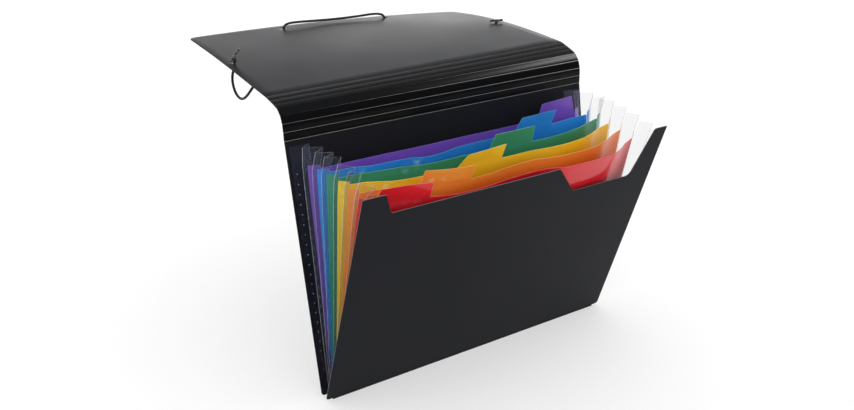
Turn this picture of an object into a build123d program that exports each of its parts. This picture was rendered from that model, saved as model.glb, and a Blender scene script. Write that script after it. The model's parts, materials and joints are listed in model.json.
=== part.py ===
from build123d import *
import math
import os

# An expanding file: two stiff covers, a scored cover fold and flap, six coloured dividers,
# pleated film gussets at both sides and a round elastic with metal bar ends.
# X runs across the file, Y towards its back, Z up. The origin is the middle of its foot.

os.makedirs("parts", exist_ok=True)

# Covers
cover_width = 330.0
cover_thickness = 0.8
front_height = 230.0
back_height = 234.3
cover_corner_radius = 3.0

# At the scored fold the back cover stands out past the front cover at each side
back_overhang = 2.5

# Top edge of the front cover, from left to right
front_ear_drop = 20.4
left_ear_width = 21.7
left_ear_slope = 8.0
thumb_notch_depth = 30.6
thumb_notch_width = 70.6
thumb_notch_slope = 25.2
right_ear_slope = 12.6
right_ear_width = 15.8
thumb_notch_radius = 6.0
ear_radius = 2.5
ear_tip_radius = 0.8

# Fan of the sheets as it stands open, in degrees
pocket_count = 7
pocket_angle = 4.163
back_lean = 10.43

# Spacing of neighbouring sheets at the foot, and the spine under them
sheet_pitch = 0.95
foot_clearance = 0.7
spine_inset = 7.0

# Scored fold: eight score lines with seven strips between them, bends in degrees
strip_pitch = 7.5
score_gap = 0.4
score_web = 0.2
score_angles = [-7.5, 3.5, 15.0, 22.0, 27.0, 4.0, 1.5, 11.0]

# Flap
flap_length = 184.5
flap_taper = 5.5
flap_corner_radius = 6.0

# Dividers, named from the back cover to the front one
divider_colours = ["purple", "blue", "green", "yellow", "orange", "red"]
divider_height = 209.5
divider_thickness = 0.3
tab_height = 16.5
tab_slope = 1.2
tab_radius = 1.2
tab_row_margin = 3.1
tab_row_shift = 0.75

# Gussets
film_thickness = 0.25
film_clearance = 0.05
fold_clearance = 0.5
pleat_depth = 13.0
pleat_web = 1.0
gusset_foot = 2.0
gusset_drop = 5.3
flange_width = 18.5
flange_margin = 1.0

# Elastic, on the flap: x across, then distance from the last score line, then height over the flap
cord_diameter = 2.5
cord_hole_diameter = 3.6
outer_hole_inset = 13.0
outer_hole_reach = 92.0
inner_hole_spacing = 125.0
inner_hole_reach = 174.5
cord_route = [
    (-154.2, 92.5, 3.8),
    (-154.6, 91.8, -3.4),
    (-156.4, 92.8, -8.8),
    (-158.6, 90.4, -14.0),
    (-160.2, 84.8, -20.6),
    (-160.8, 76.6, -25.8),
    (-160.6, 66.8, -26.6),
    (-159.0, 59.4, -21.8),
    (-155.4, 55.2, -13.6),
    (-149.0, 57.8, -8.4),
    (-139.0, 68.0, -7.0),
    (-127.0, 82.0, -7.0),
    (-111.0, 102.0, -8.2),
    (-95.0, 124.0, -9.6),
    (-79.6, 146.0, -10.0),
    (-68.4, 163.0, -9.0),
    (-63.1, 172.5, -6.4),
    (-62.5, 174.7, 0.6),
    (-58.5, 175.9, 4.4),
    (-47.5, 176.8, 4.8),
    (-25.0, 177.4, 3.8),
    (3.0, 177.6, 3.2),
    (30.0, 177.4, 4.0),
    (48.0, 176.6, 5.4),
    (58.9, 175.7, 4.6),
    (62.5, 174.7, 0.4),
    (63.3, 172.3, -6.6),
    (69.2, 162.0, -9.2),
    (80.6, 144.0, -10.2),
    (96.0, 122.0, -9.6),
    (112.0, 100.0, -8.4),
    (127.4, 81.0, -7.2),
    (138.8, 67.4, -7.4),
    (148.4, 57.4, -9.0),
    (154.8, 55.4, -14.0),
    (158.4, 59.8, -22.0),
    (160.0, 67.0, -26.8),
    (160.2, 76.8, -25.8),
    (159.4, 85.0, -20.2),
    (157.8, 90.4, -13.6),
    (155.8, 92.8, -8.6),
    (154.5, 92.0, -3.2),
    (154.4, 91.9, 0.6),
]
cord_bend_share = 0.45

# Bar ends of the elastic: each bar's direction, placed like the elastic
bar_length = 15.0
bar_diameter = 2.2
bar_round = 0.8
collar_diameter = 3.4
collar_lengths = {"left": 3.2, "right": 2.2}
bar_directions = {"left": (0.66, 0, 0.75), "right": (0.93, -0.35, 0.05)}

half_width = cover_width / 2
half_back = half_width + back_overhang
inner_fold_x = half_width - flange_margin - flange_width
outer_fold_x = inner_fold_x + pleat_depth
half_divider = inner_fold_x - fold_clearance
tab_row_width = 2 * (half_divider - tab_row_margin)
tab_width = tab_row_width / len(divider_colours)
tab_row_start = tab_row_shift - tab_row_width / 2
gusset_height = back_height - gusset_drop
outer_hole_spacing = 2 * (half_back - outer_hole_inset)


# Foot line of every sheet: each is one pitch in front of the sheet behind it, square to that sheet
def lean_of(sheet):
    return math.radians(back_lean - pocket_angle * sheet)


foot_y = [0.0]
foot_z = [0.0]
for sheet in range(pocket_count):
    foot_y.append(foot_y[-1] - sheet_pitch * math.cos(lean_of(sheet)))
    foot_z.append(foot_z[-1] + sheet_pitch * math.sin(lean_of(sheet)))

cover_reach = film_thickness + cover_thickness
front_corner_drop = cover_reach * math.sin(-lean_of(pocket_count))
foot_rise = cover_thickness + foot_clearance + front_corner_drop - foot_z[-1]
foot_shift = -(foot_y[0] + foot_y[-1]) / 2


# Plane of a sheet: x across, y up the sheet, z out of its front face
def sheet_plane(sheet):
    lean = lean_of(sheet)
    origin = (0, foot_y[sheet] + foot_shift, foot_z[sheet] + foot_rise)
    return Plane(origin=origin, x_dir=(1, 0, 0), z_dir=(0, -math.cos(lean), math.sin(lean)))


back_plane = sheet_plane(0)
front_plane = sheet_plane(pocket_count)

# Back cover, behind the gusset film: as wide as the front cover at its foot, wider at the fold
back_top = back_height - score_gap / 2
back_corners = [(-half_width, 0), (half_width, 0), (half_back, back_top), (-half_back, back_top)]
with BuildPart() as back_panel:
    with BuildSketch(back_plane.offset(-cover_reach)):
        with BuildLine():
            FilletPolyline(*back_corners, radius=[cover_corner_radius, cover_corner_radius, 0, 0], close=True)
        make_face()
    extrude(amount=cover_thickness)
back_panel.part.label = "back_panel"
export_step(back_panel.part, "parts/back_panel.step")

# Front cover: an ear at each end of its top edge and a thumb notch on the right
ear_foot = front_height - front_ear_drop
notch_foot = ear_foot - thumb_notch_depth
right_ear_x = half_width - right_ear_width
notch_right_x = right_ear_x - right_ear_slope
notch_left_x = notch_right_x - thumb_notch_width
notch_start_x = notch_left_x - thumb_notch_slope
left_ear_x = -half_width + left_ear_width
front_corners = [
    (-half_width, 0),
    (half_width, 0),
    (half_width, front_height),
    (right_ear_x, front_height),
    (notch_right_x, notch_foot),
    (notch_left_x, notch_foot),
    (notch_start_x, ear_foot),
    (left_ear_x + left_ear_slope, ear_foot),
    (left_ear_x, front_height),
    (-half_width, front_height),
]
notch_radii = [ear_radius] + [thumb_notch_radius] * 3 + [ear_radius] * 2
front_radii = [cover_corner_radius] * 2 + [ear_tip_radius] + notch_radii + [ear_tip_radius]
with BuildPart() as front_panel:
    with BuildSketch(front_plane.offset(film_thickness)):
        with BuildLine():
            FilletPolyline(*front_corners, radius=front_radii, close=True)
        make_face()
    extrude(amount=cover_thickness)
front_panel.part.label = "front_panel"
export_step(front_panel.part, "parts/front_panel.step")

# Spine: the flat strip of the cover that closes the foot
spine_back_y = foot_y[0] + foot_shift + cover_reach * math.cos(lean_of(0))
spine_front_y = foot_y[-1] + foot_shift - cover_reach * math.cos(lean_of(pocket_count))
with BuildPart() as bottom_spine:
    with BuildSketch(Plane.XY):
        with Locations((0, (spine_back_y + spine_front_y) / 2)):
            Rectangle(cover_width - 2 * spine_inset, spine_back_y - spine_front_y)
    extrude(amount=cover_thickness)
bottom_spine.part.label = "bottom_spine"
export_step(bottom_spine.part, "parts/bottom_spine.step")

# Dividers: the row of tabs steps from left at the front to right at the back
for index, colour in enumerate(divider_colours):
    tab_left = tab_row_start + (len(divider_colours) - 1 - index) * tab_width
    tab_right = tab_left + tab_width
    tab_top = divider_height + tab_height
    divider_corners = [
        (-half_divider, 0),
        (half_divider, 0),
        (half_divider, divider_height),
        (tab_right, divider_height),
        (tab_right - tab_slope, tab_top),
        (tab_left + tab_slope, tab_top),
        (tab_left, divider_height),
        (-half_divider, divider_height),
    ]
    divider_radii = [0, 0, 0, 0, tab_radius, tab_radius, 0, 0]
    with BuildPart() as divider:
        with BuildSketch(sheet_plane(index + 1).offset(-divider_thickness / 2)):
            with BuildLine():
                FilletPolyline(*divider_corners, radius=divider_radii, close=True)
            make_face()
        extrude(amount=divider_thickness)
    divider.part.label = f"divider_{colour}"
    export_step(divider.part, f"parts/divider_{colour}.step")


# Cross-section of a pleat at one height: two film walls that meet in a web at the outer fold
def pleat_section(pocket, height, side):
    behind = sheet_plane(pocket).from_local_coords((0, height, 0))
    ahead = sheet_plane(pocket + 1).from_local_coords((0, height, 0))
    across = ahead - behind
    gap = across.length
    middle = gap / 2
    plane = Plane(origin=behind, x_dir=(1, 0, 0), z_dir=Vector(1, 0, 0).cross(across))
    points = [
        (inner_fold_x, film_clearance),
        (outer_fold_x, middle - film_thickness),
        (outer_fold_x, middle + film_thickness),
        (inner_fold_x, gap - film_clearance),
        (inner_fold_x, gap - film_clearance - film_thickness),
        (outer_fold_x - pleat_web, middle),
        (inner_fold_x, film_clearance + film_thickness),
    ]
    return plane, [(side * x, y) for x, y in points]


# Gussets: one pleat a pocket at each side, between the sheet behind and the sheet ahead
sides = {"left": -1, "right": 1}
for side_name, side in sides.items():
    for pocket in range(pocket_count):
        with BuildPart() as pleat:
            for height in (gusset_foot, gusset_height):
                plane, points = pleat_section(pocket, height, side)
                with BuildSketch(plane):
                    with BuildLine():
                        Polyline(*points, close=True)
                    make_face()
            loft(ruled=True)
        pleat.part.label = f"{side_name}_pleat_{pocket + 1}"
        export_step(pleat.part, f"parts/{side_name}_pleat_{pocket + 1}.step")

# Gusset flanges: the film's two edges, flat on the inner faces of the covers
flange_middle_x = inner_fold_x + flange_width / 2
flange_planes = {"back": back_plane.offset(-film_thickness), "front": front_plane}
for side_name, side in sides.items():
    for cover_name, plane in flange_planes.items():
        with BuildPart() as flange:
            with BuildSketch(plane):
                with Locations((side * flange_middle_x, gusset_foot)):
                    Rectangle(flange_width, gusset_height - gusset_foot, align=(Align.CENTER, Align.MIN))
            extrude(amount=film_thickness)
        flange.part.label = f"{side_name}_flange_{cover_name}"
        export_step(flange.part, f"parts/{side_name}_flange_{cover_name}.step")

# Score lines: where each line lies and the slope of the sheet past it
slope = math.radians(90 - back_lean)
score_start = back_plane.from_local_coords((0, back_height, cover_thickness / 2 - cover_reach))
score_y = score_start.Y
score_z = score_start.Z
score_planes = []
for bend in score_angles:
    slope -= math.radians(bend)
    score_planes.append(
        Plane(origin=(0, score_y, score_z), x_dir=(1, 0, 0), z_dir=(0, -math.sin(slope), math.cos(slope)))
    )
    score_y += strip_pitch * math.cos(slope)
    score_z += strip_pitch * math.sin(slope)
flap_plane = score_planes[-1]


# A score line's web: the thin hinge that reaches from a sheet's edge to the line
def score_web_profile(plane):
    with BuildSketch(Plane(origin=plane.origin, x_dir=plane.y_dir, z_dir=plane.x_dir)) as profile:
        Circle(score_web / 2)
        Rectangle(score_gap / 2, score_web, align=(Align.MIN, Align.CENTER))
    return profile.sketch


# Strips between the score lines
for index, plane in enumerate(score_planes[:-1]):
    with BuildPart() as strip:
        with BuildSketch(plane.offset(-cover_thickness / 2)):
            with Locations((0, strip_pitch / 2)):
                Rectangle(2 * half_back, strip_pitch - score_gap)
        extrude(amount=cover_thickness)
        extrude(score_web_profile(plane), amount=half_back, both=True)
    strip.part.label = f"fold_strip_{index + 1}"
    export_step(strip.part, f"parts/fold_strip_{index + 1}.step")

# Flap: narrows towards its far edge, with four holes for the elastic
flap_corners = [
    (-half_back, score_gap / 2),
    (half_back, score_gap / 2),
    (half_back - flap_taper, flap_length),
    (flap_taper - half_back, flap_length),
]
cord_holes = [
    (sign * spacing / 2, reach)
    for sign in sides.values()
    for spacing, reach in ((outer_hole_spacing, outer_hole_reach), (inner_hole_spacing, inner_hole_reach))
]
with BuildPart() as flap:
    with BuildSketch(flap_plane.offset(-cover_thickness / 2)):
        with BuildLine():
            FilletPolyline(*flap_corners, radius=[0, 0, flap_corner_radius, flap_corner_radius], close=True)
        make_face()
        with Locations(*cord_holes):
            Circle(cord_hole_diameter / 2, mode=Mode.SUBTRACT)
    extrude(amount=cover_thickness)
    extrude(score_web_profile(flap_plane), amount=half_back, both=True)
flap.part.label = "flap"
export_step(flap.part, "parts/flap.step")

# Elastic: straight runs joined by arcs as large as the runs allow
cord_points = [Vector(*point) for point in cord_route]
cord_radii = []
for before, corner, after in zip(cord_points, cord_points[1:], cord_points[2:]):
    arriving = corner - before
    leaving = after - corner
    half_turn = math.radians(arriving.get_angle(leaving)) / 2
    cord_radii.append(cord_bend_share * min(arriving.length, leaving.length) / math.tan(half_turn))
with BuildPart() as elastic_cord:
    with BuildLine(flap_plane) as route:
        FilletPolyline(*cord_route, radius=cord_radii)
    with BuildSketch(Plane(origin=route.line @ 0, z_dir=route.line % 0)):
        Circle(cord_diameter / 2)
    sweep(path=route.line)
elastic_cord.part.label = "elastic_cord"
export_step(elastic_cord.part, "parts/elastic_cord.step")
cord_length = sum(edge.length for edge in route.edges())
cord_section = math.pi * (cord_diameter / 2) ** 2
print("cord radii", [round(radius, 1) for radius in cord_radii])
print("cord length", round(cord_length, 1))
print("cord volume over section times length", elastic_cord.part.volume / (cord_section * cord_length))

# Bar ends: a rounded bar across a collar that grips the end of the elastic
cord_ends = {"left": (route.line @ 0, -(route.line % 0)), "right": (route.line @ 1, route.line % 1)}
for side_name, (cord_end, outward) in cord_ends.items():
    collar_length = collar_lengths[side_name]
    centre = cord_end + outward * collar_length
    along = flap_plane.from_local_coords(Vector(*bar_directions[side_name])) - flap_plane.origin
    bar_start = centre - along.normalized() * (bar_length / 2)
    with BuildPart() as bar:
        with BuildSketch(Plane(origin=bar_start, z_dir=along)):
            Circle(bar_diameter / 2)
        extrude(amount=bar_length)
        fillet(bar.edges().filter_by(GeomType.CIRCLE), bar_round)
        with BuildSketch(Plane(origin=cord_end, z_dir=outward)):
            Circle(collar_diameter / 2)
        extrude(amount=collar_length)
    bar.part.label = f"{side_name}_bar_end"
    export_step(bar.part, f"parts/{side_name}_bar_end.step")
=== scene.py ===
# %% [markdown]
# # An expanding file, dressed for the camera
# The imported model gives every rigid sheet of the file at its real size. This lesson loads it as a fixed
# frame and builds the finished look around it: grained covers, bowed dividers, clear pleats and a round
# elastic. Everything is in metres, in the frame's own axes, so nothing has to be fitted afterwards.

# %% Load the frame
import json
import math

import bmesh
import bpy
from mathutils import Matrix, Vector


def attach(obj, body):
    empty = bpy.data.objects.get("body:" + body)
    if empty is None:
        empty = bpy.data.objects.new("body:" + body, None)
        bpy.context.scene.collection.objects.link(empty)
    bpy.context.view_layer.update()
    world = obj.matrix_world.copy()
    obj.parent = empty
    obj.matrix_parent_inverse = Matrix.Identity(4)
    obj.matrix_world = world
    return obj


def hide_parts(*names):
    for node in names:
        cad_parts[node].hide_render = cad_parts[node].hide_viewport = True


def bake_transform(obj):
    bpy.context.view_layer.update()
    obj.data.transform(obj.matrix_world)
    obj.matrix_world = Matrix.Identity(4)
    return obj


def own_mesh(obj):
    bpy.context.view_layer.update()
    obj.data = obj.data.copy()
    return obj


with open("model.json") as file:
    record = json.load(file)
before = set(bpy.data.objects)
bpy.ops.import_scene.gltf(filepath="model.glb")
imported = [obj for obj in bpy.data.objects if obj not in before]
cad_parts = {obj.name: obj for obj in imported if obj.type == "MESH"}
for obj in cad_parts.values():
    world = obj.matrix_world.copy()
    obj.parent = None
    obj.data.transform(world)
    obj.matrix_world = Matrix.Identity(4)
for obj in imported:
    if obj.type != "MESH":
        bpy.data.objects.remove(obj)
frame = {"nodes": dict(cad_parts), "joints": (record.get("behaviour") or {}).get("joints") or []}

MM = 0.001
scene = bpy.context.scene
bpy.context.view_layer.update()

# %% [markdown]
# ## Camera
# The file is seen from its left front corner, a little from above. The place and the turn of the camera
# were worked out from the corners of the two covers, whose real sizes are known. A camera without roll
# needs only an azimuth and an elevation, so those are the values kept here.

# %% Camera
camera_place = Vector((-0.51375, -0.67488, 0.49952))
camera_azimuth = math.radians(-34.341)
camera_elevation = math.radians(22.340)
camera_lens_mm = 41.498
camera_sensor_mm = 36.0

level = math.cos(camera_elevation)
camera_back = Vector(
    (math.sin(camera_azimuth) * level, -math.cos(camera_azimuth) * level, math.sin(camera_elevation))
)
camera_data = bpy.data.cameras.new("camera")
camera_data.lens = camera_lens_mm
camera_data.sensor_width = camera_sensor_mm
camera = bpy.data.objects.new("camera", camera_data)
camera.location = camera_place
camera.rotation_mode = "QUATERNION"
camera.rotation_quaternion = (-camera_back).to_track_quat("-Z", "Y")
scene.collection.objects.link(camera)
scene.camera = camera
print("camera:", [round(v, 3) for v in camera_place], "m, lens", camera_lens_mm, "mm")

# %% [markdown]
# ## The fan of sheets
# Eight sheets stand in the file: the back cover, six dividers and the front cover. Each turns a few
# degrees further forward than the one behind it, about its own foot line. One function gives a point
# on any sheet from three plain measures: across, up the sheet, and out of its front face.

# %% Places on the sheets
back_lean = math.radians(10.43)
pocket_angle = math.radians(4.163)
sheet_pitch = 0.95 * MM
colours = ["purple", "blue", "green", "yellow", "orange", "red"]
sheet_bodies = ["back_cover"] + [f"divider_{colour}" for colour in colours] + ["front_cover"]
pocket_count = len(sheet_bodies) - 1
place_of_joint = {joint["name"]: Vector(joint["pos_m"]) for joint in frame["joints"]}


def up_the(sheet):
    lean = back_lean - pocket_angle * sheet
    return Vector((0, math.sin(lean), math.cos(lean)))


def out_of(sheet):
    lean = back_lean - pocket_angle * sheet
    return Vector((0, -math.cos(lean), math.sin(lean)))


foot_of = [place_of_joint[f"pocket_{pocket}"] for pocket in range(1, pocket_count + 1)]
foot_of.insert(0, foot_of[0] - out_of(0) * sheet_pitch)


def on_sheet(sheet, across, height, out=0.0):
    return foot_of[sheet] + Vector((across, 0, 0)) + up_the(sheet) * height + out_of(sheet) * out


print("fan opens", round(math.degrees(pocket_angle * pocket_count), 1), "degrees")

# %% [markdown]
# ## The fold and the flap
# Between the back cover and the flap the sheet is scored eight times. Each strip lies in its own plane,
# turned by the bend of the score line below it. The sheet is not quite flat on the real file: its crease
# climbs a little to the right, and the flap bows up in the middle and droops at its far right corner.
# Two short formulas give that lift, one for the fold and one for the flap, and they agree at the crease.

# %% Places on the fold and the flap
score_angles = [-7.5, 3.5, 15.0, 22.0, 27.0, 4.0, 1.5, 11.0]
strip_pitch = 7.5 * MM
strip_count = len(score_angles) - 1
half_back = 167.5 * MM
flap_length = 184.5 * MM
crease_climb = 2.3 * MM
crease_bow = 0.3 * MM
flap_rise = 2.8 * MM
flap_bow = 1.6 * MM
flap_twist = 7.45 * MM
corner_droop = 4.45 * MM

slope = math.pi / 2 - back_lean
score_frames = []
for number, bend in enumerate(score_angles, start=1):
    slope -= math.radians(bend)
    turn = Matrix.Rotation(slope, 4, "X")
    score_frames.append(Matrix.Translation(place_of_joint[f"score_{number}"]) @ turn)
flap_frame = score_frames[-1]


def fold_lift(across, run):
    side = across / half_back
    return (crease_climb * side + crease_bow * side**2) * run / (strip_count * strip_pitch)


def flap_lift(across, reach):
    side = across / half_back
    share = min(max(reach / flap_length, 0), 1)
    middle = flap_rise * share + flap_bow * math.sin(math.pi * share)
    tilt = crease_climb - flap_twist * share**2
    droop = crease_bow - corner_droop * share**3
    return middle + tilt * side + droop * side**2


def on_flap(across, reach, height):
    return flap_frame @ Vector((across, reach, height + flap_lift(across, reach)))


print("flap slopes", round(math.degrees(slope), 2), "degrees")

# %% [markdown]
# ## Colours and nodes
# Colours are noted as the hex values that a screen shows. A shader works with linear light, so one
# function converts them. A second small function adds any shader node, sets its values and links it,
# which keeps each finish below to a few lines.

# %% Helpers for finishes
def linear(code):
    shares = [int(code[i : i + 2], 16) / 255 for i in (0, 2, 4)]
    return [s / 12.92 if s <= 0.04045 else ((s + 0.055) / 1.055) ** 2.4 for s in shares] + [1.0]


def add_node(tree, kind, settings=None, links=None):
    made = tree.nodes.new(kind)
    for name, value in (settings or {}).items():
        if isinstance(name, int) or name in made.inputs:
            made.inputs[name].default_value = value
        else:
            setattr(made, name, value)
    for name, socket in (links or {}).items():
        tree.links.new(socket, made.inputs[name])
    return made


def start_finish(name, settings):
    material = bpy.data.materials.new(name)
    material.use_nodes = True
    shader = material.node_tree.nodes["Principled BSDF"]
    for socket, value in settings.items():
        shader.inputs[socket].default_value = value
    return material, material.node_tree, shader


print("middle grey as linear light:", round(linear("808080")[0], 4))

# %% [markdown]
# ## Helpers for pieces
# A finished piece starts as a copy of a packed sheet or as a simple shape, is worked with mesh operators
# and then becomes an object at the origin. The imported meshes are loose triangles, so a copy is merged
# and its flat faces are dissolved to single polygons before any edge is bevelled.

# %% Helpers for pieces
merge_distance = 0.001 * MM
flat_angle = math.radians(0.5)


def copy_of(node_name):
    bm = bmesh.new()
    bm.from_mesh(frame["nodes"][node_name].data)
    bmesh.ops.remove_doubles(bm, verts=bm.verts, dist=merge_distance)
    bmesh.ops.dissolve_limit(bm, angle_limit=flat_angle, verts=bm.verts, edges=bm.edges)
    return bm


def everything(bm):
    return bm.verts[:] + bm.edges[:] + bm.faces[:]


def round_edges(bm, edges, width, segments):
    bmesh.ops.bevel(
        bm, geom=edges, offset=width, offset_type="OFFSET", segments=segments, profile=0.5,
        affect="EDGES", clamp_overlap=True, material=-1,
    )


def sharp_edges(bm, angle=40):
    return [e for e in bm.edges if len(e.link_faces) == 2 and e.calc_face_angle() > math.radians(angle)]


def cut_across(bm, places, normal):
    for place in places:
        bmesh.ops.bisect_plane(
            bm, geom=everything(bm), dist=merge_distance, plane_co=place, plane_no=normal
        )


def add_piece(name, bm, materials, stands_for=(), smooth_angle=35):
    mesh = bpy.data.meshes.new(name)
    bm.to_mesh(mesh)
    bm.free()
    for material in materials:
        mesh.materials.append(material)
    mesh.shade_smooth()
    mesh.set_sharp_from_angle(angle=math.radians(smooth_angle))
    piece = bpy.data.objects.new(name, mesh)
    scene.collection.objects.link(piece)
    if stands_for:
        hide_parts(*stands_for)
    return piece


print("pieces are made at the origin, with their place in their mesh")

# %% [markdown]
# ## Elastic
# The flap is held shut by one length of round elastic. It runs over the far edge of the flap between two
# holes, crosses under the flap to its sides, hangs in a loop at each side and comes up through a hole near
# each side edge, where a metal bar stops it. A smooth spline through listed control points
# is the honest shape for it: each point is across the flap, along it from the crease, and above it.

# %% Elastic finish
# Braided polyester over a rubber core: a dull black thread with a fine diagonal braid.
braid_pitch = 1.6 * MM
braid_strands = 8
cord_length = 571.7 * MM
elastic_finish, tree, shader = start_finish(
    "braided_elastic",
    {"Base Color": linear("0d0d0f"), "Roughness": 0.62, "Sheen Weight": 0.15, "Sheen Roughness": 0.4},
)
coords = add_node(tree, "ShaderNodeTexCoord")
turned = add_node(
    tree,
    "ShaderNodeMapping",
    {"Scale": (cord_length / braid_pitch, braid_strands, 1.0), "Rotation": (0, 0, math.radians(45))},
    {"Vector": coords.outputs["UV"]},
)
braid = add_node(tree, "ShaderNodeTexChecker", {"Scale": 1.0}, {"Vector": turned.outputs["Vector"]})
bump = add_node(
    tree, "ShaderNodeBump", {"Strength": 0.5, "Distance": 0.1 * MM}, {"Height": braid.outputs["Fac"]}
)
tree.links.new(bump.outputs["Normal"], shader.inputs["Normal"])
print("braid repeats", round(cord_length / braid_pitch), "times along the elastic")

# %% [markdown]
# ## The elastic's route
# Straight runs with rounded corners would look like bent wire. A NURBS spline passes smoothly near its
# control points, as a limp cord does, so the route is a list of points, in millimetres.

# %% Elastic route
cord_route = [
    (-154.2, 92.5, 3.8),
    (-154.6, 91.8, -3.4),
    (-156.4, 92.8, -8.8),
    (-158.6, 90.4, -14.0),
    (-160.2, 84.8, -20.6),
    (-160.8, 76.6, -25.8),
    (-160.6, 66.8, -26.6),
    (-159.0, 59.4, -21.8),
    (-155.4, 55.2, -13.6),
    (-149.0, 57.8, -8.4),
    (-139.0, 68.0, -7.0),
    (-127.0, 82.0, -7.0),
    (-111.0, 102.0, -8.2),
    (-95.0, 124.0, -9.6),
    (-79.6, 146.0, -10.0),
    (-68.4, 163.0, -9.0),
    (-63.1, 172.5, -6.4),
    (-62.5, 174.7, 0.6),
    (-58.5, 175.9, 4.4),
    (-47.5, 176.8, 4.8),
    (-25.0, 177.4, 3.8),
    (3.0, 177.6, 3.2),
    (30.0, 177.4, 4.0),
    (48.0, 176.6, 5.4),
    (58.9, 175.7, 4.6),
    (62.5, 174.7, 0.4),
    (63.3, 172.3, -6.6),
    (69.2, 162.0, -9.2),
    (80.6, 144.0, -10.2),
    (96.0, 122.0, -9.6),
    (112.0, 100.0, -8.4),
    (127.4, 81.0, -7.2),
    (138.8, 67.4, -7.4),
    (148.4, 57.4, -9.0),
    (154.8, 55.4, -14.0),
    (158.4, 59.8, -22.0),
    (160.0, 67.0, -26.8),
    (160.2, 76.8, -25.8),
    (159.4, 85.0, -20.2),
    (157.8, 90.4, -13.6),
    (155.8, 92.8, -8.6),
    (154.5, 92.0, -3.2),
    (154.4, 91.9, 0.6),
]
cord_points = [on_flap(across * MM, reach * MM, height * MM) for across, reach, height in cord_route]
print("elastic has", len(cord_points), "control points")

# %% [markdown]
# ## The elastic as a curve
# A curve with a round bevel is the lightest way to make a cord: the spline carries the shape, and the bevel
# gives the thickness and the UV map that the braid follows. The spline's order is set after its points are
# added, because set before, it is lost.

# %% Elastic
cord_diameter = 2.5 * MM
cord_curve = bpy.data.curves.new("round_elastic", "CURVE")
cord_curve.dimensions = "3D"
spline = cord_curve.splines.new("NURBS")
spline.points.add(len(cord_points) - 1)
for point, place in zip(spline.points, cord_points):
    point.co = (*place, 1.0)
spline.order_u = 3
spline.use_endpoint_u = True
spline.resolution_u = 8
spline.use_smooth = True
cord_curve.bevel_depth = cord_diameter / 2
cord_curve.bevel_resolution = 4
cord_curve.use_fill_caps = True
cord_curve.materials.append(elastic_finish)
elastic = bpy.data.objects.new("round_elastic", cord_curve)
scene.collection.objects.link(elastic)
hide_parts("elastic_cord")
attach(elastic, "flap")
print("elastic is", round(cord_diameter / MM, 1), "mm thick")

# %% [markdown]
# ## Bar ends
# Each end of the elastic is crimped into a small collar with a bar across it, so that it can't slip back
# through its hole. A bar is a rod with rounded tips and two rolled grooves. A short cylinder, bevelled at
# its rims and pinched at two rings, gives that; the collar is pinched once, where it grips the elastic.

# %% Bar finish
# Black-nickel-plated steel, tumbled bright: a warm dark mirror, a little dulled by handling.
plated_finish, tree, shader = start_finish(
    "plated_steel", {"Base Color": linear("76726a"), "Metallic": 1.0, "Roughness": 0.15}
)
coords = add_node(tree, "ShaderNodeTexCoord")
scuff_size = 1.5 * MM
scuffs = add_node(
    tree, "ShaderNodeTexNoise", {"Scale": 1 / scuff_size, "Detail": 3.0},
    {"Vector": coords.outputs["Object"]},
)
dulled = add_node(
    tree, "ShaderNodeMapRange", {"To Min": 0.08, "To Max": 0.22}, {"Value": scuffs.outputs[0]}
)
tree.links.new(dulled.outputs["Result"], shader.inputs["Roughness"])
print("scuffs on the plated steel:", scuff_size / MM, "mm")

# %% [markdown]
# ## Grooved rods
# Bar and collar are both short rods with rounded rims, so one function makes them: a cylinder with bevelled
# rims, cut at each groove and narrowed there.

# %% Grooved rods
groove_width = 0.9 * MM
groove_share = 0.84
rod_sides = 24
rim_steps = 4
rim_angle = 60


def grooved_rod(length, diameter, rim, grooves, matrix):
    bm = bmesh.new()
    bmesh.ops.create_cone(
        bm, cap_ends=True, segments=rod_sides, radius1=diameter / 2, radius2=diameter / 2, depth=length
    )
    round_edges(bm, sharp_edges(bm, rim_angle), rim, rim_steps)
    for groove in grooves:
        places = [Vector((0, 0, groove + step * groove_width / 2)) for step in (-1, 0, 1)]
        cut_across(bm, places, (0, 0, 1))
        ring = [v for v in bm.verts if abs(v.co.z - groove) < groove_width / 4]
        bmesh.ops.scale(bm, verts=ring, vec=(groove_share, groove_share, 1))
    bmesh.ops.transform(bm, matrix=matrix, verts=bm.verts)
    return bm


print("a groove narrows its rod to", groove_share, "of its diameter")

# %% [markdown]
# ## Bars and collars
# The collar lies along the end of the elastic and the bar lies across it. The two bars don't lie alike: the
# left one stands up from the flap, and the right one rests nearly flat on it.

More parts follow.
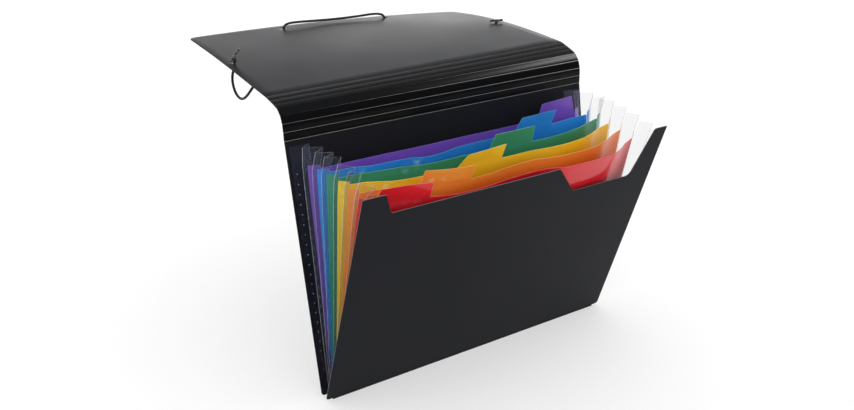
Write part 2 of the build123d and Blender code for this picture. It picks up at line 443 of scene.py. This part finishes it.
# %% Bar ends
bar_length = 15 * MM
bar_diameter = 2.2 * MM
bar_round = 0.8 * MM
bar_groove_place = 2.8 * MM
collar_diameter = 3.4 * MM
collar_lengths = {"left": 3.2 * MM, "right": 2.2 * MM}
bar_directions = {"left": (0.66, 0, 0.75), "right": (0.93, -0.35, 0.05)}
cord_ends = {
    "left": (cord_points[0], cord_points[0] - cord_points[1]),
    "right": (cord_points[-1], cord_points[-1] - cord_points[-2]),
}
for side, (cord_end, outward) in cord_ends.items():
    outward = outward.normalized()
    collar_length = collar_lengths[side]
    along = (flap_frame.to_3x3() @ Vector(bar_directions[side])).normalized()
    bar_turn = along.to_track_quat("Z", "Y").to_matrix().to_4x4()
    collar_turn = outward.to_track_quat("Z", "Y").to_matrix().to_4x4()
    bar_place = Matrix.Translation(cord_end + outward * collar_length) @ bar_turn
    collar_place = Matrix.Translation(cord_end + outward * collar_length / 2) @ collar_turn
    bar_grooves = (-bar_groove_place, bar_groove_place)
    bm = grooved_rod(bar_length, bar_diameter, bar_round, bar_grooves, bar_place)
    collar_mesh = bpy.data.meshes.new("collar")
    collar = grooved_rod(collar_length, collar_diameter, bar_round / 2, (0,), collar_place)
    collar.to_mesh(collar_mesh)
    collar.free()
    bm.from_mesh(collar_mesh)
    bpy.data.meshes.remove(collar_mesh)
    piece = add_piece(f"{side}_bar_crimped", bm, [plated_finish], [f"{side}_bar_end"])
    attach(piece, "flap")

# %% [markdown]
# ## Covers
# Front cover, back cover, spine and flap are cut from one black polypropylene sheet, extruded with a fine
# matte grain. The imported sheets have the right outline, so each piece is a copy with its rim rounded a
# little: a die-cut plastic edge is never knife sharp, and the rounded rim catches a thin line of light.

# %% Cover finish
# Extruded polypropylene with an embossed grain: deep charcoal, soft gloss that spreads at low angles.
# The real grain is about 0.3 mm; it is drawn four times as coarse so that it shows from a step away.
grain_size = 1.2 * MM
ripple_size = 60 * MM
cover_finish, tree, shader = start_finish(
    "grained_polypropylene",
    {"Base Color": linear("1c1d22"), "Roughness": 0.4, "IOR": 1.49, "Specular IOR Level": 0.07},
)
coords = add_node(tree, "ShaderNodeTexCoord")
grain = add_node(
    tree, "ShaderNodeTexNoise", {"Scale": 1 / grain_size, "Detail": 4.0},
    {"Vector": coords.outputs["Object"]},
)
ripple = add_node(
    tree, "ShaderNodeTexNoise", {"Scale": 1 / ripple_size, "Detail": 1.0},
    {"Vector": coords.outputs["Object"]},
)
satin = add_node(
    tree, "ShaderNodeMapRange", {"To Min": 0.34, "To Max": 0.46}, {"Value": ripple.outputs[0]}
)
bump = add_node(
    tree, "ShaderNodeBump", {"Strength": 0.25, "Distance": 0.03 * MM}, {"Height": grain.outputs[0]}
)
tree.links.new(satin.outputs["Result"], shader.inputs["Roughness"])
tree.links.new(bump.outputs["Normal"], shader.inputs["Normal"])
# The cut edge of the sheet takes a paler grey than its faces, a painted highlight along the lit edge.
edge_highlight_finish = cover_finish.copy()
edge_highlight_finish.name = "cut_edge_painted_highlight"
edge_highlight_finish.node_tree.nodes["Principled BSDF"].inputs["Base Color"].default_value = linear("6a6b6e")
print("cover grain drawn at", grain_size / MM, "mm")

# %% [markdown]
# ## Cover sheets
# A small bevel rounds the rim of each cover. Faces that point away from the broad sides are the cut edge,
# and they take the paler finish, a painted highlight along the edge.

# %% Covers
rim_round = 0.2 * MM
round_steps = 2
rim_slant = 0.5
cover_bodies = {"back_panel": "back_cover", "bottom_spine": "back_cover", "front_panel": "front_cover"}
for node_name, body in cover_bodies.items():
    bm = copy_of(node_name)
    round_edges(bm, sharp_edges(bm), rim_round, round_steps)
    broad = max(bm.faces, key=lambda face: face.calc_area()).normal.copy()
    for face in bm.faces:
        face.material_index = 1 if abs(face.normal.dot(broad)) < rim_slant else 0
    finishes = [cover_finish, edge_highlight_finish]
    piece = add_piece(f"{node_name}_sheet", bm, finishes, [node_name], smooth_angle=20)
    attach(piece, body)
    print(piece.name, len(piece.data.polygons), "faces")

# %% [markdown]
# ## Scored fold
# A score line is a groove pressed into the sheet, and the sheet turns about it. The strips between the
# lines have the covers' finish with more gloss and a darker grey that paints their shade, so it is copied
# and changed, not made again.

# %% Fold finishes
# The press that makes the score lines also polishes the strips: the same plastic, with more gloss, and a
# darker grey that is painted shade.
shaded_fold_finish = cover_finish.copy()
shaded_fold_finish.name = "pressed_polypropylene_painted_shade"
fold_range = next(n for n in shaded_fold_finish.node_tree.nodes if n.type == "MAP_RANGE")
fold_range.inputs["To Min"].default_value = 0.2
fold_range.inputs["To Max"].default_value = 0.26
shaded_fold_shader = shaded_fold_finish.node_tree.nodes["Principled BSDF"]
# The darker base colour is painted shade on the fold strips.
shaded_fold_shader.inputs["Base Color"].default_value = linear("0f1012")
shaded_fold_shader.inputs["Specular IOR Level"].default_value = 0.1

# At a score line the sheet is so thin that light from behind shines through it.
web_finish = start_finish(
    "thinned_polypropylene",
    {"Base Color": linear("8c8c88"), "Roughness": 0.4, "IOR": 1.49, "Transmission Weight": 0.85},
)[0]
print("fold finishes:", shaded_fold_finish.name, "and", web_finish.name)

# %% [markdown]
# ## Strips and score lines
# Each piece here is centred on one score line: half a strip behind it, half a strip ahead, and the thin web
# between them. They start as flat boxes with bevelled lips, are cut across so that they can bend, and then
# every point moves to its place on the fold. The two ends of a piece follow the strips that they lie on, so
# neighbours always meet, however far the fold is turned.

# %% Scored fold
sheet_thickness = 0.8 * MM
score_gap = 0.4 * MM
score_lip = 0.16 * MM
lip_steps = 3
web_thickness = 0.2 * MM
# At the crease the web is as black as the flap, and thick enough to cover the flap's own thin edge.
crease_thickness = 0.3 * MM
fold_columns = 10


def on_fold(number, place):
    across, run, out = place
    lift = fold_lift(across, (number - 1) * strip_pitch + run)
    if run < 0 and number > 1:
        return score_frames[number - 2] @ Vector((across, strip_pitch + run, out + lift))
    return score_frames[number - 1] @ Vector((across, run, out + lift))


for number in range(1, strip_count + 2):
    bm = bmesh.new()
    half_strip = (strip_pitch - score_gap) / 2
    halves = [way for way in (-1, 1) if 1 <= number + (way - 1) // 2 <= strip_count]
    for way in halves:
        size = Matrix.Diagonal((2 * half_back, half_strip, sheet_thickness, 1))
        place = Matrix.Translation((0, way * (score_gap + half_strip) / 2, 0))
        bmesh.ops.create_cube(bm, size=1, matrix=place @ size)
    long_edges = [e for e in bm.edges if e.calc_length() > half_back]
    lips = [e for e in long_edges if all(abs(v.co.y) < score_gap for v in e.verts)]
    round_edges(bm, lips, score_lip, lip_steps)
    at_crease = number > strip_count
    thickness = crease_thickness if at_crease else web_thickness
    web = Matrix.Diagonal((2 * half_back, score_gap, thickness, 1))
    made = bmesh.ops.create_cube(bm, size=1, matrix=web)
    for face in {f for v in made["verts"] for f in v.link_faces}:
        face.material_index = 0 if at_crease else 1
    steps = [half_back * (2 * k / fold_columns - 1) for k in range(1, fold_columns)]
    cut_across(bm, [Vector((across, 0, 0)) for across in steps], (1, 0, 0))
    for vert in bm.verts:
        vert.co = on_fold(number, vert.co)
    stands_for = [] if at_crease else [f"fold_strip_{number}"]
    finishes = [shaded_fold_finish, web_finish]
    piece = add_piece(f"score_line_{number}", bm, finishes, stands_for)
    if number == 1:
        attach(piece, "fold_strip_1")
        continue
    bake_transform(piece)
print("score lines:", strip_count + 1)

# %% [markdown]
# ## Flap
# The flap is the same sheet, held only at its crease. Its copy is cut into a grid, because a flat polygon
# can't bend, and every point is lifted by the bow and twist that the elastic above already follows.

# %% Flap
grid_step = 12 * MM
bm = copy_of("flap")
round_edges(bm, sharp_edges(bm), rim_round, round_steps)
to_flap = flap_frame.inverted()
bmesh.ops.transform(bm, matrix=to_flap, verts=bm.verts)
columns = int(half_back / grid_step)
rows = int(flap_length / grid_step)
cut_across(bm, [Vector((k * grid_step, 0, 0)) for k in range(-columns, columns + 1)], (1, 0, 0))
cut_across(bm, [Vector((0, k * grid_step, 0)) for k in range(1, rows + 1)], (0, 1, 0))
for vert in bm.verts:
    vert.co.z += flap_lift(vert.co.x, vert.co.y)
bmesh.ops.transform(bm, matrix=flap_frame, verts=bm.verts)
piece = add_piece("flap_sheet", bm, [cover_finish], ["flap"])
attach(piece, "flap")
print("flap:", len(piece.data.polygons), "faces")

# %% [markdown]
# ## Dividers
# Six dividers of coloured polypropylene stand in the file. They are thin and a little too wide for their
# pockets, so they bow forwards between their two sides, each in its own way. The copy of the imported sheet
# is cut into a grid and pushed out of its plane: nothing at the foot and the sides, most at the top, with
# a slow wave through a few measured places.

# %% Divider finishes
# Coloured polypropylene sheet, calendered: glossy, with a waxy depth. Along its cut edges a paler copy of
# each colour paints a highlight.
divider_colours = {
    "purple": ("7952b7", "8c6cc6"),
    "blue": ("308ee6", "58a4ea"),
    "green": ("339072", "56aa88"),
    "yellow": ("f8ca30", "f8d660"),
    "orange": ("ec9438", "f6aa60"),
    "red": ("dc2630", "e65058"),
}
cloud_size = 45 * MM
glow_depth = 1.0 * MM
divider_finishes = {}
for colour, (face_code, edge_highlight_code) in divider_colours.items():
    finishes = []
    for part_name, code in (("sheet", face_code), ("painted_edge_highlight", edge_highlight_code)):
        material, tree, shader = start_finish(
            f"{colour}_polypropylene_{part_name}",
            {
                "Base Color": linear(code), "Roughness": 0.16, "IOR": 1.49, "Specular IOR Level": 0.26,
                "Subsurface Weight": 0.7, "Subsurface Radius": (1, 1, 1), "Subsurface Scale": glow_depth,
            },
        )
        coords = add_node(tree, "ShaderNodeTexCoord")
        clouds = add_node(
            tree, "ShaderNodeTexNoise", {"Scale": 1 / cloud_size, "Detail": 2.0},
            {"Vector": coords.outputs["Object"]},
        )
        gloss = add_node(
            tree, "ShaderNodeMapRange", {"To Min": 0.12, "To Max": 0.2}, {"Value": clouds.outputs[0]}
        )
        tree.links.new(gloss.outputs["Result"], shader.inputs["Roughness"])
        finishes.append(material)
    divider_finishes[colour] = finishes
print("divider finishes:", len(divider_finishes))

# %% [markdown]
# ## How the dividers bow
# Each top edge waves forwards, and its tab leans a little further. A lattice could bend the sheets, but a
# formula can be asked for any point of any sheet: a smooth cubic between each two places read along the
# edge. Below the top the bow fades with the cube of the height.

# %% Bows of the dividers
half_divider = 145 * MM
divider_height = 209.5 * MM
tab_width = 47.3 * MM
tab_height = 16.5 * MM
tab_row_start = -141.15 * MM
bow_power = 3
# How far each sheet stands forwards at its top: places across and depths in millimetres, left to right
divider_bows = {
    "purple": [(-145, -0.3), (-118, 0), (-80, 0), (-50, 1), (0, 0), (50, 0.3), (75, -0.3), (145, 0)],
    "blue": [
        (-145, -0.5), (-122, 1), (-110, 6), (-86, 7.5), (-71, 9), (-58, 15), (-41, 14.4), (-19, 8.7),
        (9, 7.4), (50, 6), (110, 2.4), (123, 0), (145, -0.5),
    ],
    "green": [
        (-145, -0.5), (-132, 0.5), (-110, 3.8), (-88, 6.7), (-75, 11), (-51, 12.8), (-14, 12.5),
        (54, 16), (84, 15.2), (109, 10.5), (121, 7), (136, 1), (145, -1),
    ],
    "yellow": [
        (-145, -0.5), (-127, 2.5), (-109, 10.4), (-87, 13.2), (-45, 14), (14, 15), (33, 14.7),
        (57, 17), (76, 17), (101, 13.8), (116, 8.3), (132, 1.5), (145, -1),
    ],
    "orange": [
        (-145, -0.5), (-125, 1), (-105, 7), (-88, 12), (-60, 16.5), (-27, 17), (-7, 14.4), (12, 12.9),
        (30, 12.8), (53, 17), (73, 17), (94, 16.4), (106, 14.1), (121, 8), (135, 1.5), (145, -1),
    ],
    "red": [
        (-145, -0.5), (-118, 4), (-100, 8.5), (-84, 12.6), (-70, 15), (-50, 15.5), (-37, 15), (-18, 13),
        (0, 12), (27, 12), (42, 15.5), (55, 17.2), (70, 17.2), (88, 17), (112, 14), (130, 5), (145, -0.5),
    ],
}
# How far the top of each tab leans further forwards at its left and at its right, in millimetres
tab_leans = {
    "purple": (7, -1.5), "blue": (8.4, 8.2), "green": (3.6, 0.3),
    "yellow": (8.8, 2.5), "orange": (0.6, 1.4), "red": (6.7, 1.1),
}


def slope_at(points, k):
    before = points[max(k - 1, 0)]
    after = points[min(k + 1, len(points) - 1)]
    return (after[1] - before[1]) / (after[0] - before[0])


def bow_of(colour, across, height):
    points = divider_bows[colour]
    place = min(max(across / MM, points[0][0]), points[-1][0])
    k = next(k for k in range(len(points) - 1) if place <= points[k + 1][0])
    (start, low), (end, high) = points[k], points[k + 1]
    span = end - start
    share = (place - start) / span
    depth = low + (high - low) * share * share * (3 - 2 * share)
    depth += slope_at(points, k) * span * share * (1 - share) ** 2
    depth -= slope_at(points, k + 1) * span * share * share * (1 - share)
    tab_left = tab_row_start + (len(colours) - 1 - colours.index(colour)) * tab_width
    tab_share = min(max((across - tab_left) / tab_width, 0), 1)
    lean_left, lean_right = tab_leans[colour]
    lean = lean_left + (lean_right - lean_left) * tab_share
    tab_climb = max(height - divider_height, 0) / tab_height
    return ((max(height, 0) / divider_height) ** bow_power * depth + lean * tab_climb) * MM


print("red bows", round(bow_of("red", 0, divider_height) / MM, 1), "mm in the middle of its top edge")

# %% [markdown]
# ## Divider sheets
# Each sheet is turned into a flat frame of its own, where x runs across, y up and z forwards. There an
# inset makes the pale band along its cut edge, which is a painted highlight; a grid of cuts lets it bend,
# and the bow is added to z.

# %% Dividers
highlight_band = 0.35 * MM
broad_facing = 0.9
divider_step = 10 * MM


def local_frame(sheet):
    axes = Matrix((Vector((1, 0, 0)), up_the(sheet), out_of(sheet))).transposed().to_4x4()
    return Matrix.Translation(foot_of[sheet]) @ axes


for sheet, colour in enumerate(colours, start=1):
    node_name = f"divider_{colour}"
    bm = copy_of(node_name)
    bmesh.ops.transform(bm, matrix=local_frame(sheet).inverted(), verts=bm.verts)
    # The rim faces and an inset band take the paler colour, a painted edge highlight.
    for face in bm.faces:
        face.material_index = 1
    broad = [f for f in bm.faces if abs(f.normal.z) > broad_facing]
    for face in broad:
        face.material_index = 0
        made = bmesh.ops.inset_region(bm, faces=[face], thickness=highlight_band, use_even_offset=True)
        for rim in made["faces"]:
            rim.material_index = 1
    columns = int(half_divider / divider_step)
    rows = int(max(v.co.y for v in bm.verts) / divider_step)
    cut_across(bm, [Vector((k * divider_step, 0, 0)) for k in range(-columns, columns + 1)], (1, 0, 0))
    cut_across(bm, [Vector((0, k * divider_step, 0)) for k in range(1, rows + 1)], (0, 1, 0))
    for vert in bm.verts:
        vert.co.z += bow_of(colour, vert.co.x, vert.co.y)
    bmesh.ops.transform(bm, matrix=local_frame(sheet), verts=bm.verts)
    finishes = divider_finishes[colour]
    piece = add_piece(f"{colour}_divider", bm, finishes, [node_name])
    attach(piece, node_name)
    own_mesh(piece)
    print(piece.name, len(piece.data.polygons), "faces")

# %% [markdown]
# ## Gussets
# Clear film closes the two sides of every pocket. It could be glass to the shader, but a refracting film
# this thin shows dark bands and noise where layers overlap. A veil of small opacity looks as film does.

# %% Film finish
# Frosted polypropylene film: nearly clear, a milky veil over dark things, a little grey over white ones,
# paler along folds and cut edges, where a whiter and denser copy paints their highlight. So thin a film
# bends no light, so it is a veil of small opacity.
film_settings = {"Base Color": linear("5c6278"), "Roughness": 0.3, "IOR": 1.49, "Alpha": 0.09}
fold_highlight_settings = {"Base Color": linear("d8dce4"), "Roughness": 0.3, "IOR": 1.49, "Alpha": 0.3}
film_finishes = []
streak_size = 4 * MM
for finish_name, settings in (("frosted_film", film_settings), ("frosted_film_fold_highlight", fold_highlight_settings)):
    material, tree, shader = start_finish(finish_name, settings)
    coords = add_node(tree, "ShaderNodeTexCoord")
    streaks = add_node(
        tree, "ShaderNodeTexNoise", {"Scale": 1 / streak_size, "Detail": 2.0},
        {"Vector": coords.outputs["Object"]},
    )
    haze = add_node(
        tree, "ShaderNodeMapRange", {"To Min": 0.24, "To Max": 0.36}, {"Value": streaks.outputs[0]}
    )
    tree.links.new(haze.outputs["Result"], shader.inputs["Roughness"])
    film_finishes.append(material)
print("film covers", film_settings["Alpha"], "of what lies behind each face")

# %% [markdown]
# ## Walls of film
# A pleat and a divider's flange are both walls that stand between two sheets. A place in a pocket is given
# by how far across it is, how far up, and its share of the way from the sheet behind to the sheet ahead. A
# wall grows from a few such places at its foot: their edges are extruded, and the new points are put at the
# top. Rows of cuts then let it follow the bowed ends of its two sheets.

# %% Walls of film
film_clearance = 0.25 * MM


def between(pocket, across, height, share):
    behind = on_sheet(pocket - 1, across, height, film_clearance)
    ahead = on_sheet(pocket, across, height, -film_clearance)
    return behind.lerp(ahead, share)


def grow_wall(bm, section, foot, top):
    low = [bm.verts.new(between(pocket, x, foot, share)) for pocket, x, share in section]
    edges = [bm.edges.new(pair) for pair in zip(low, low[1:])]
    grown = bmesh.ops.extrude_edge_only(bm, edges=edges)["geom"]
    for start, (pocket, x, share) in zip(low, section):
        end = next(e.other_vert(start) for e in start.link_edges if e.other_vert(start) in grown)
        end.co = between(pocket, x, top, share)


def rows_up(bm, pocket, foot, top, count):
    steps = [foot + (top - foot) * k / count for k in range(1, count)]
    cut_across(bm, [between(pocket, 0, height, 0.5) for height in steps], up_the(pocket - 0.5))


def end_bow(sheet, sign, height):
    inside = 0 < sheet < pocket_count
    return bow_of(colours[sheet - 1], sign * half_divider, height) if inside else 0.0


def follow_ends(bm, pocket, sign):
    for vert in bm.verts:
        rise = vert.co - foot_of[pocket - 1]
        height = rise.dot(up_the(pocket - 0.5))
        turned = (back_lean - math.atan2(rise.y, rise.z)) / pocket_angle
        share = min(max(turned - (pocket - 1), 0), 1)
        behind = end_bow(pocket - 1, sign, height)
        ahead = end_bow(pocket, sign, height)
        vert.co += out_of(pocket - 0.5) * (behind + (ahead - behind) * share)


print("film walls stay", film_clearance / MM, "mm clear of the sheets")

# %% [markdown]
# ## Gusset pleats
# Between two sheets the film makes one pleat that points outwards: a wall over three places, with its
# outer fold rounded, and then given a thickness. As a pocket moves, its pleats blend between the sheet
# behind and the sheet ahead. So clear a film hardly shades anything, so it casts no shadow and no bounced
# light meets it.

# %% Gusset pleats
inner_fold = 145.5 * MM
# How far each pleat stands out past the inner folds, from the back cover to the front one, in millimetres
pleat_depths = {
    "left": [13, 12.5, 12.5, 10, 9.5, 9.5, 11.5],
    "right": [13, 12.5, 11.5, 10, 9.5, 9.5, 10.5],
}
gusset_foot = 2 * MM
gusset_height = 229 * MM
film_thickness = 0.25 * MM
cut_edge_area = film_thickness * 20 * MM
fold_round = 0.7 * MM
fold_steps = 4
pleat_rows = 14
film_smooth_angle = 60
sides = {"left": -1, "right": 1}
for side, sign in sides.items():
    for pocket in range(1, pocket_count + 1):
        bm = bmesh.new()
        outer_fold = inner_fold + pleat_depths[side][pocket - 1] * MM
        section = [
            (pocket, sign * inner_fold, 0),
            (pocket, sign * outer_fold, 0.5),
            (pocket, sign * inner_fold, 1),
        ]
        grow_wall(bm, section, gusset_foot, gusset_height)
        fold = [e for e in bm.edges if len(e.link_faces) == 2]
        round_edges(bm, fold, fold_round, fold_steps)
        rows_up(bm, pocket, gusset_foot, gusset_height, pleat_rows)
        follow_ends(bm, pocket, sign)
        bmesh.ops.recalc_face_normals(bm, faces=bm.faces)
        bmesh.ops.solidify(bm, geom=bm.faces[:], thickness=film_thickness)
        # Faces at the outer fold and the thin cut edges take the pale copy, a painted highlight.
        for face in bm.faces:
            near_fold = abs(face.calc_center_median().x) > outer_fold - fold_round
            face.material_index = 1 if near_fold or face.calc_area() < cut_edge_area else 0
        node_name = f"{side}_pleat_{pocket}"
        piece = add_piece(
            f"{node_name}_film", bm, film_finishes, [node_name], film_smooth_angle
        )
        piece.visible_shadow = False
        piece.visible_diffuse = False
        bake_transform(piece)
print("pleats:", len(sides) * pocket_count)

# %% [markdown]
# ## Divider flanges
# A divider is held by the gusset: its side edges turn backwards and are welded to the film of the pocket
# behind it. Seen from the side they make the row of coloured stripes. Each is a narrow wall that lies just
# inside the film and blends with it.

# %% Divider flanges
flange_share = 0.72
flange_lift = 0.4 * MM
flange_overlap = 3 * MM
flange_top = divider_height + flange_overlap
for side, sign in sides.items():
    for pocket, colour in enumerate(colours, start=1):
        bm = bmesh.new()
        reach = inner_fold + pleat_depths[side][pocket - 1] * MM * flange_share
        section = [
            (pocket, sign * (reach - flange_lift), 1 - flange_share / 2),
            (pocket, sign * (inner_fold - flange_lift), 1),
        ]
        grow_wall(bm, section, gusset_foot, flange_top)
        rows_up(bm, pocket, gusset_foot, flange_top, pleat_rows)
        follow_ends(bm, pocket, sign)
        bmesh.ops.recalc_face_normals(bm, faces=bm.faces)
        bmesh.ops.solidify(bm, geom=bm.faces[:], thickness=film_thickness)
        piece = add_piece(
            f"{side}_{colour}_flange", bm, divider_finishes[colour][:1]
        )
        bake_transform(piece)
print("flanges:", len(sides) * len(colours))

# %% [markdown]
# ## Weld dots
# The film's outer edges lie flat on the two covers and are spot-welded there. These edges are packed sheets
# of the right shape, so they only take the film's finish. The welds show as rows of small bright dots,
# whose brightness is painted highlight from the film's pale fold copy. Each is a low cone with a flat top,
# repeated along two staggered columns.

# %% Weld dots
dot_diameter = 1.2 * MM
dot_rise = 0.12 * MM
dot_spacing = 9 * MM
dot_columns = [154.5 * MM, 160 * MM]
dot_sides = 8
bare_rows = 2
dot_rows = int((gusset_height - 2 * bare_rows * dot_spacing) / dot_spacing)
flange_names = ["left_flange_back", "right_flange_back", "left_flange_front", "right_flange_front"]
for node_name in flange_names:
    frame["nodes"][node_name].data.materials.clear()
    frame["nodes"][node_name].data.materials.append(film_finishes[0])
    side, _, cover = node_name.split("_")
    sheet = 0 if cover == "back" else pocket_count
    facing = 1 if cover == "back" else -1
    bm = bmesh.new()
    for column, across in enumerate(dot_columns):
        for row in range(dot_rows):
            height = gusset_foot + (bare_rows + row + column / 2) * dot_spacing
            place = on_sheet(sheet, sides[side] * across, height, facing * dot_rise / 2)
            turn = (out_of(sheet) * facing).to_track_quat("Z", "Y").to_matrix().to_4x4()
            bmesh.ops.create_cone(
                bm, cap_ends=True, segments=dot_sides, radius1=dot_diameter / 2, radius2=dot_diameter / 3,
                depth=dot_rise, matrix=Matrix.Translation(place) @ turn,
            )
    piece = add_piece(f"{node_name}_welds", bm, film_finishes[1:])
    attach(piece, sheet_bodies[sheet])
print("weld dots on", len(flange_names), "flanges")

# %% [markdown]
# ## Floor
# The file stands on a plain pale floor. More light would take the floor to white and wash out the file too.
# So the floor glows a little instead, for the eye and for reflections only, and keeps the file's shadow.

# %% Floor
floor_size = 12.0
floor_glow = 0.43
floor_finish, tree, shader = start_finish(
    "pale_floor", {"Base Color": linear("c8c8c8"), "Roughness": 0.9, "Emission Color": linear("ffffff")}
)
path = add_node(tree, "ShaderNodeLightPath")
seen = add_node(
    tree, "ShaderNodeMath", {"operation": "MAXIMUM"},
    {0: path.outputs["Is Camera Ray"], 1: path.outputs["Is Glossy Ray"]},
)
seen = add_node(
    tree, "ShaderNodeMath", {"operation": "MAXIMUM"},
    {0: seen.outputs[0], 1: path.outputs["Is Transmission Ray"]},
)
glow = add_node(tree, "ShaderNodeMath", {"operation": "MULTIPLY", 1: floor_glow}, {0: seen.outputs[0]})
tree.links.new(glow.outputs[0], shader.inputs["Emission Strength"])
bm = bmesh.new()
bmesh.ops.create_grid(bm, x_segments=1, y_segments=1, size=floor_size / 2)
floor_mesh = bpy.data.meshes.new("floor")
bm.to_mesh(floor_mesh)
bm.free()
floor_mesh.materials.append(floor_finish)
floor = bpy.data.objects.new("floor", floor_mesh)
scene.collection.objects.link(floor)
print("floor", floor_size, "m wide")

# %% [markdown]
# ## White surround
# An even surround lights the file from all sides and is white to the eye. Glossy surfaces see it dimmer
# overhead, as under the dark ceiling of a studio, so that the black sheets keep their depth.

# %% Surround
fill_level = 1.1
ceiling_level = 0.4
sky_low = math.radians(22)
sky_high = math.radians(50)
world = bpy.data.worlds.new("white_surround")
scene.world = world
world.use_nodes = True
tree = world.node_tree
background = tree.nodes["Background"]
background.inputs["Color"].default_value = (1, 1, 1, 1)
path = add_node(tree, "ShaderNodeLightPath")
seen = add_node(
    tree, "ShaderNodeMath", {"operation": "MAXIMUM"},
    {0: path.outputs["Is Camera Ray"], 1: path.outputs["Is Transmission Ray"]},
)
coords = add_node(tree, "ShaderNodeTexCoord")
height = add_node(tree, "ShaderNodeSeparateXYZ", None, {"Vector": coords.outputs["Generated"]})
seen_sky = add_node(
    tree,
    "ShaderNodeMapRange",
    {
        "From Min": math.sin(sky_low), "From Max": math.sin(sky_high),
        "To Min": 1.0, "To Max": ceiling_level,
    },
    {"Value": height.outputs["Z"]},
)
mirrored = add_node(
    tree, "ShaderNodeMapRange", {"To Min": fill_level},
    {"Value": path.outputs["Is Glossy Ray"], "To Max": seen_sky.outputs[0]},
)
strength = add_node(
    tree, "ShaderNodeMapRange", {"To Max": 1.0},
    {"Value": seen.outputs[0], "To Min": mirrored.outputs[0]},
)
tree.links.new(strength.outputs["Result"], background.inputs["Strength"])
print("fill light", fill_level)

# %% [markdown]
# ## Lamps
# Two soft boxes, one high at the right and one low behind, give the sheen on plastic and metal. They act
# only on reflections, so the surround alone sets how bright a colour renders.

# %% Lamps
aim = Vector((0, 0.03, 0.2))
# Direction from the aim, then distance, width and height in metres, then radiance
softboxes = {
    "front_softbox": ((1.15, -0.33, 1.05), 1.55, 0.5, 0.26, 21.0),
    "back_softbox": ((0.5, 0.8, 0.2), 1.7, 1.6, 0.35, 3.2),
}
for name, (direction, distance, width, height, radiance) in softboxes.items():
    direction = Vector(direction).normalized()
    light_data = bpy.data.lights.new(name, "AREA")
    light_data.shape = "RECTANGLE"
    light_data.size = width
    light_data.size_y = height
    light_data.energy = radiance * math.pi * width * height
    light = bpy.data.objects.new(name, light_data)
    light.location = aim + direction * distance
    light.rotation_mode = "QUATERNION"
    light.rotation_quaternion = (-direction).to_track_quat("-Z", "Y")
    light.visible_camera = False
    light.visible_transmission = False
    light.visible_diffuse = False
    scene.collection.objects.link(light)
    print(name, round(light_data.energy, 2), "W")

# %% [markdown]
# ## Dark card
# A glossy black thing looks black only where it mirrors something dark. So a dark card stands in front of
# the file, hidden from the camera, and it neither throws a shadow nor takes part in bounced light.

# %% Dark card
card_width = 3.0
card_height = 1.9
card_place = Vector((0.9, -1.6, 0.96))
card_finish = start_finish("dark_card", {"Base Color": linear("0a0a0a"), "Roughness": 0.9})[0]
bm = bmesh.new()
bmesh.ops.create_grid(bm, x_segments=1, y_segments=1, size=0.5)
bmesh.ops.scale(bm, verts=bm.verts, vec=(card_width, card_height, 1))
facing = (aim - card_place).to_track_quat("Z", "Y").to_matrix().to_4x4()
bmesh.ops.transform(bm, matrix=Matrix.Translation(card_place) @ facing, verts=bm.verts)
card_mesh = bpy.data.meshes.new("dark_card")
bm.to_mesh(card_mesh)
bm.free()
card_mesh.materials.append(card_finish)
card = bpy.data.objects.new("dark_card", card_mesh)
card.visible_camera = False
card.visible_shadow = False
card.visible_diffuse = False
scene.collection.objects.link(card)
# The standard view shows each colour as it is written above.
scene.view_settings.view_transform = "Standard"
print("card", card_width, "by", card_height, "m")
